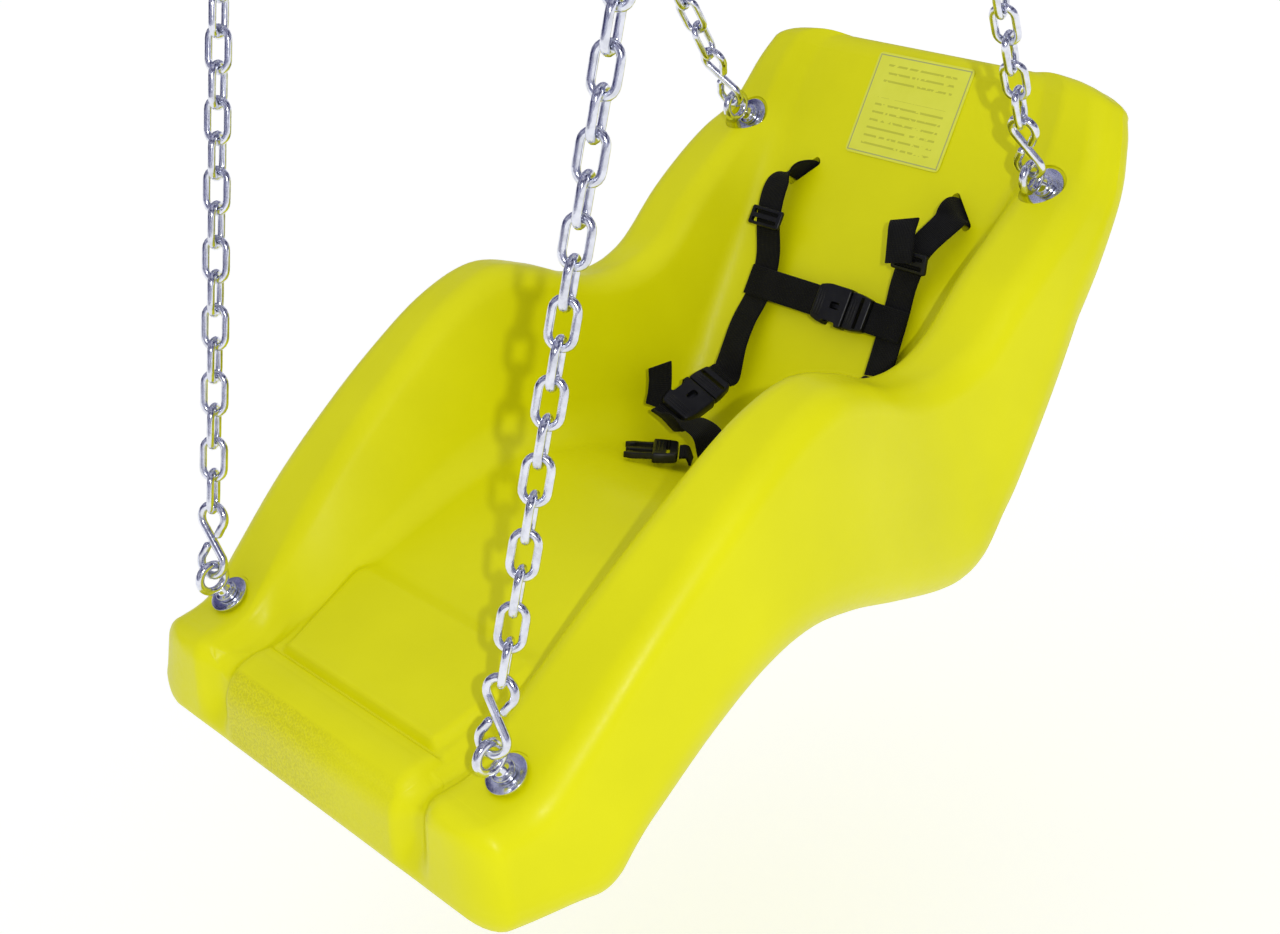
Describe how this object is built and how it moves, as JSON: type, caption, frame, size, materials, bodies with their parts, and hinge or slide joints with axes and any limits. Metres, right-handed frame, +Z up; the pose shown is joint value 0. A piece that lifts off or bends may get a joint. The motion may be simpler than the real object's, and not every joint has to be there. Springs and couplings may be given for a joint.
{
  "type": "adaptive swing seat",
  "caption": "One-piece moulded full-support swing seat with a buckled harness, hung on chains from pivoting overhead hangers.",
  "frame": {"origin": "midway between the centres of the two hanger plates' top faces, on the plane that bolts up to the beam", "axes": "+Z up, +X from the left chains to the right chains (left as the picture is seen from the front), +Y from the seat's front to its back"},
  "size_m": [0.5641, 0.7004, 1.1739],
  "materials": {
    "yellow_polyethylene": "moulded, lightly textured",
    "label_film": "matte film",
    "black_acetal": "satin",
    "black_webbing": "woven",
    "bronze": "sintered",
    "plated_steel": "zinc plated, dull",
    "bright_zinc": "bright zinc plated"
  },
  "bodies": {
    "hangers": {"hanger_bracket_left": "plated_steel", "hanger_bracket_right": "plated_steel", "pivot_bolt_left": "bright_zinc", "pivot_bolt_right": "bright_zinc", "pivot_bush_left": "bronze", "pivot_bush_right": "bronze", "pivot_nut_left": "plated_steel", "pivot_nut_right": "plated_steel"},
    "yokes": {"hanger_yoke_left": "bright_zinc", "hanger_yoke_right": "bright_zinc"},
    "left_suspension": {"snap_hook_left": "bright_zinc", "chain_front_left": "bright_zinc", "chain_rear_left": "bright_zinc", "s_hook_front_left": "bright_zinc", "s_hook_rear_left": "bright_zinc"},
    "gate_left": {"snap_gate_left": "bright_zinc"},
    "right_suspension": {"snap_hook_right": "bright_zinc", "chain_front_right": "bright_zinc", "chain_rear_right": "bright_zinc", "s_hook_front_right": "bright_zinc", "s_hook_rear_right": "bright_zinc"},
    "gate_right": {"snap_gate_right": "bright_zinc"},
    "chest_socket": {"chest_buckle_socket": "black_acetal"},
    "shoulder_socket": {"shoulder_buckle_left_socket": "black_acetal"},
    "seat": {"backing_washer_front_left": "plated_steel", "backing_washer_front_right": "plated_steel", "backing_washer_rear_left": "plated_steel", "backing_washer_rear_right": "plated_steel", "chest_buckle_tongue": "black_acetal", "chest_strap_left": "black_webbing", "chest_strap_right": "black_webbing", "crotch_strap_left": "black_webbing", "crotch_strap_right": "black_webbing", "eye_bolt_front_left": "bright_zinc", "eye_bolt_front_right": "bright_zinc", "eye_bolt_rear_left": "bright_zinc", "eye_bolt_rear_right": "bright_zinc", "eye_washer_front_left": "bright_zinc", "eye_washer_front_right": "bright_zinc", "eye_washer_rear_left": "bright_zinc", "eye_washer_rear_right": "bright_zinc", "label": "label_film", "lock_nut_front_left": "plated_steel", "lock_nut_front_right": "plated_steel", "lock_nut_rear_left": "plated_steel", "lock_nut_rear_right": "plated_steel", "seat_shell": "yellow_polyethylene", "shoulder_buckle_left_tongue": "black_acetal", "shoulder_buckle_right_socket": "black_acetal", "shoulder_buckle_right_tongue": "black_acetal", "shoulder_strap_left": "black_webbing", "shoulder_strap_right": "black_webbing", "strap_adjuster_left": "black_acetal", "strap_adjuster_right": "black_acetal", "strap_keeper_crotch": "black_acetal", "strap_keeper_left": "black_acetal", "strap_keeper_right": "black_acetal", "strap_tail_left": "black_webbing", "strap_tail_right": "black_webbing"}
  },
  "joints": [
    {"name": "swing_fore_aft", "type": "hinge", "parent": "hangers", "child": "yokes", "pos_m": [0, 0, -0.04], "axis": [1, 0, 0], "range_deg": [-45, 45]},
    {"name": "sway_left", "type": "hinge", "parent": "yokes", "child": "left_suspension", "pos_m": [-0.25117, 0, -0.0681], "axis": [0, 0.9444, 0.3289], "range_deg": [-2.5, 2.5]},
    {"name": "seat_level", "type": "hinge", "parent": "left_suspension", "child": "seat", "pos_m": [-0.1595, -0.0082, -0.96419], "axis": [0, 0.9444, 0.3289], "range_deg": [-4, 4]},
    {"name": "sway_right", "type": "hinge", "parent": "yokes", "child": "right_suspension", "pos_m": [0.25117, 0, -0.0681], "axis": [0, 0.9444, 0.3289], "range_deg": [-2.6, 2.6]},
    {"name": "gate_left", "type": "hinge", "parent": "left_suspension", "child": "gate_left", "pos_m": [-0.24381, 0.018, -0.1362], "axis": [0.9942, 0, 0.1075], "range_deg": [0, 25], "stiffness_Nm_per_rad": 0.05, "springref_deg": -17.19},
    {"name": "gate_right", "type": "hinge", "parent": "right_suspension", "child": "gate_right", "pos_m": [0.24381, 0.018, -0.1362], "axis": [0.9942, 0, -0.1075], "range_deg": [0, 25], "stiffness_Nm_per_rad": 0.05, "springref_deg": -17.19},
    {"name": "chest_release", "type": "slide", "parent": "seat", "child": "chest_socket", "axis": [-1, 0, 0], "range_m": [0, 0.028], "deforming": ["chest_strap_left"]},
    {"name": "shoulder_release", "type": "slide", "parent": "seat", "child": "shoulder_socket", "axis": [0, -0.9849, -0.1732], "range_m": [0, 0.024], "deforming": ["crotch_strap_left"]}
  ],
  "couplings": [
    {"joint": "seat_level", "follows": "sway_left", "ratio": -1.5747},
    {"joint": "sway_right", "follows": "sway_left", "ratio": 1}
  ]
}
